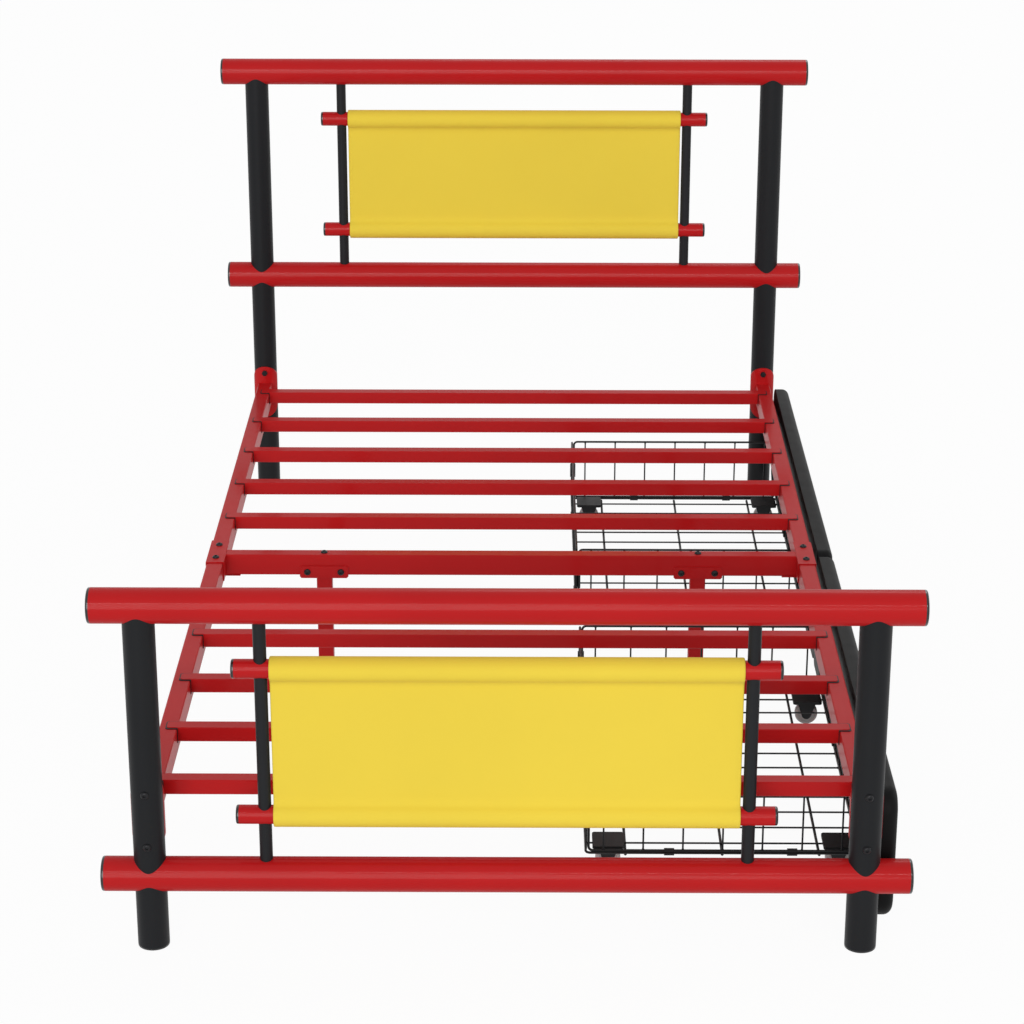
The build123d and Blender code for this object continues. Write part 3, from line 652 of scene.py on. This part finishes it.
def make_cloth(end):
    """The cloth panel of an end: its line moved off to both faces, with a slow wave over the free faces
    and small tugs near the upper bar."""
    upper, lower = bar_heights(end)
    line = cloth_loop(upper, lower)
    ahead = np.roll(line, -1, axis=0) - np.roll(line, 1, axis=0)
    normal = np.stack([ahead[:, 1], -ahead[:, 0]], axis=1) / np.linalg.norm(ahead, axis=1)[:, None]
    x, away = cloth_cut()
    section = line[:, None] + away[None, :, None] * normal[:, None]
    span = upper - lower - 2 * cloth_fold_margin
    free = np.clip((section[..., 1] - lower - cloth_fold_margin) / span, 0, 1)
    across = np.sin(cloth_wave_turns * math.pi * x / cloth_half_width + cloth_wave_start)
    wave = cloth_wave_depth * np.sin(math.pi * free) * across
    near_top = cloth_tug_depth * (1 - free) * free * np.exp(-cloth_tug_fade * (1 - free))
    tug = near_top * np.sin(2 * math.pi * x / cloth_tug_spacing)
    points = np.empty(section.shape[:2] + (3,))
    points[..., 0] = x
    points[..., 1] = end_sides[end] * end_y + section[..., 0] + wave + tug
    points[..., 2] = section[..., 1]
    piece = dress(f"{end}_cloth", [closed(points, ring=True)], cloth, "bed_frame", "yellow_cloth",
                  f"{end}_fabric_panel")


def panel_wires(width, height, place, along, up, wires, spacing):
    """A wire wall: a bent rod loop with upright wires welded inside it."""
    parts = [bent_rod(width, height, place, along, up)]
    reach = height / 2 - 2 * rod_radius
    for offset in spaced(wires, spacing):
        ends = in_plane(np.array([[offset, -reach], [offset, reach]]), place, along, up)
        parts.append(welded_wire(ends[0], ends[1], wire_radius))
    return parts


def make_basket(name):
    """The five wire panels of a basket."""
    y = drawer_y[name]
    body = f"{name}_drawer"
    middle = (wall_bottom + wall_top) / 2
    height = wall_top - wall_bottom + 2 * rod_radius
    floor = [bent_rod(basket_width, basket_length, (basket_x, y, floor_height), (1, 0, 0), (0, 1, 0))]
    reach = basket_width / 2 - 2 * rod_radius
    for offset in spaced(floor_wires, floor_wire_spacing):
        start = (basket_x - reach, y + offset, floor_height)
        floor.append(welded_wire(start, (basket_x + reach, y + offset, floor_height), wire_radius))
    reach = basket_length / 2 - 2 * rod_radius
    small = bearer_radius - bearer_round
    profile = [(small, 0), (bearer_radius, bearer_round), (bearer_radius, 2 * reach - bearer_round),
               (small, 2 * reach)]
    for offset in spaced(bearers, bearer_spacing):
        start = (basket_x + offset, y - reach, bearer_height)
        floor.append(turned(profile, start, (0, 1, 0), rod_sides))
    dress(f"{name}_basket_floor_round", floor, wire_black, body, "basket_wire", f"{name}_basket_floor")
    for wall, end in (("foot", -1), ("head", 1)):
        place = (basket_x, y + end * (basket_length / 2 - rod_radius), middle)
        parts = panel_wires(basket_width - end_wall_gap, height, place, (1, 0, 0), (0, 0, 1), end_wires,
                            end_wire_spacing)
        dress(f"{name}_basket_{wall}_wall_round", parts, wire_black, body, "basket_wire",
              f"{name}_basket_{wall}_wall")
    for wall, side in (("inner", -1), ("outer", 1)):
        place = (basket_x + side * (basket_width / 2 - rod_radius), y, middle)
        parts = panel_wires(basket_length, height, place, (0, 1, 0), (0, 0, 1), side_wires,
                            side_wire_spacing)
        dress(f"{name}_basket_{wall}_wall_round", parts, wire_black, body, "basket_wire",
              f"{name}_basket_{wall}_wall")


def make_board(name):
    """The front board: its outline drawn in by radius * (1 - cos t) while it rises by radius * sin t."""
    y = drawer_y[name]
    low = np.array([y - board_length / 2, board_bottom])
    high = np.array([y + board_length / 2, board_bottom + board_height])
    seam_low = drawer_ends[name] > 0
    at_high = board_end_radius if seam_low else board_seam_radius
    at_low = board_seam_radius if seam_low else board_end_radius
    radii = [at_high, at_low, at_low, at_high]
    levels = [(0, board_back_round), (board_back_round, 0)]
    for angle in np.radians(np.linspace(0, 90, 12)):
        rise = board_thickness - board_edge_radius * (1 - math.sin(angle))
        levels.append((rise, board_edge_radius * (1 - math.cos(angle))))
    rows = []
    for rise, inset in levels:
        outline = rounded_outline(low, high, radii, inset)
        rows.append(np.column_stack([np.full(len(outline), board_back + rise), outline]))
    dress(f"{name}_board_round", [closed(np.array(rows))], board_black, f"{name}_drawer", "drawer_board",
          f"{name}_drawer_front")


def make_wheels(name):
    """The four wheels of a drawer: a rounded tread, a sunk side and a hub round the axle."""
    profile = wheel_section + [(radius, -along) for radius, along in reversed(wheel_section)]
    places = [(x, row) for row in (-caster_row, caster_row) for x in caster_x]
    for number, (x, row) in enumerate(places, start=1):
        part = turned(profile, (x, drawer_y[name] + row, wheel_radius), (0, 1, 0), wheel_sides, ring=True)
        dress(f"{name}_wheel_{number}_round", [part], wheel_grey, f"{name}_caster_{number}", "caster_wheel",
              f"{name}_wheel_{number}")


def look_of(node):
    """The finish of a node that keeps its CAD shape."""
    if "caster" in node or "fixings" in node or "pads" in node:
        return plastic_black
    if "basket" in node:
        return wire_black
    if "feet" in node:
        return cap_black
    return red


bpy.context.scene.view_settings.view_transform = "Standard"
aim_camera()
white_world(0.5)
pale_floor(0.05)
add_sun("key", (-1.6, -9.0, 2.4), 35, 1.15)
add_lamp("back", (1.5, 7.5, 7.5), (0, 0, 0.4), 4.0, 3.0, 110)
add_lamp("right", (7.0, 1.5, 3.0), (0, 0, 0.3), 3.0, 2.5, 50)
add_lamp("streak", (0, -5.2, 3.5), (0, 0, 0.6), 5.5, 0.2, 50)

red = surface("red_enamel", (0.48, 0.009, 0.0105), 0.45, drift=0.04, Specular_IOR_Level=0.06,
              Coat_Weight=0.16, Coat_Roughness=0.13)
black = surface("black_enamel", (0.0125, 0.0132, 0.0148), 0.42, height=0.00003, Specular_IOR_Level=0.12)
pebbled = surface("black_enamel_pebbled", (0.0135, 0.0142, 0.016), 0.45, grain=420.0, height=0.00012,
                  strength=0.7, Specular_IOR_Level=0.15)
cap_black = surface("cap_plastic", (0.009, 0.009, 0.01), 0.2, Specular_IOR_Level=0.45, Coat_Weight=0.2)
plastic_black = surface("moulded_black", (0.009, 0.009, 0.01), 0.5, grain=900.0, Specular_IOR_Level=0.2)
wire_black = surface("wire_black", (0.008, 0.008, 0.009), 0.38, Specular_IOR_Level=0.2)
bolt_black = surface("bolt_black", (0.012, 0.012, 0.014), 0.33, Metallic=0.3, Specular_IOR_Level=0.3)
board_black = surface("board_black", (0.006, 0.006, 0.0062), 0.5, grain=260.0, height=0.00008,
                      stretch=(6, 0.25, 6), Specular_IOR_Level=0.08)
wheel_grey = surface("wheel_grey", (0.46, 0.43, 0.43), 0.42, Subsurface_Weight=0.15, Specular_IOR_Level=0.4)
cloth = woven("yellow_cloth", (0.85, 0.64, 0.062), cloth_thread)

for thing in carried:
    thing.data.materials.clear()
    thing.data.materials.append(look_of(thing.name))

for end in end_sides:
    make_rails(end)
    make_posts(end)
    make_panel_tubes(end)
    make_cloth(end)
make_caps()
make_bolts()
for name in drawer_y:
    make_basket(name)
    make_board(name)
    make_wheels(name)
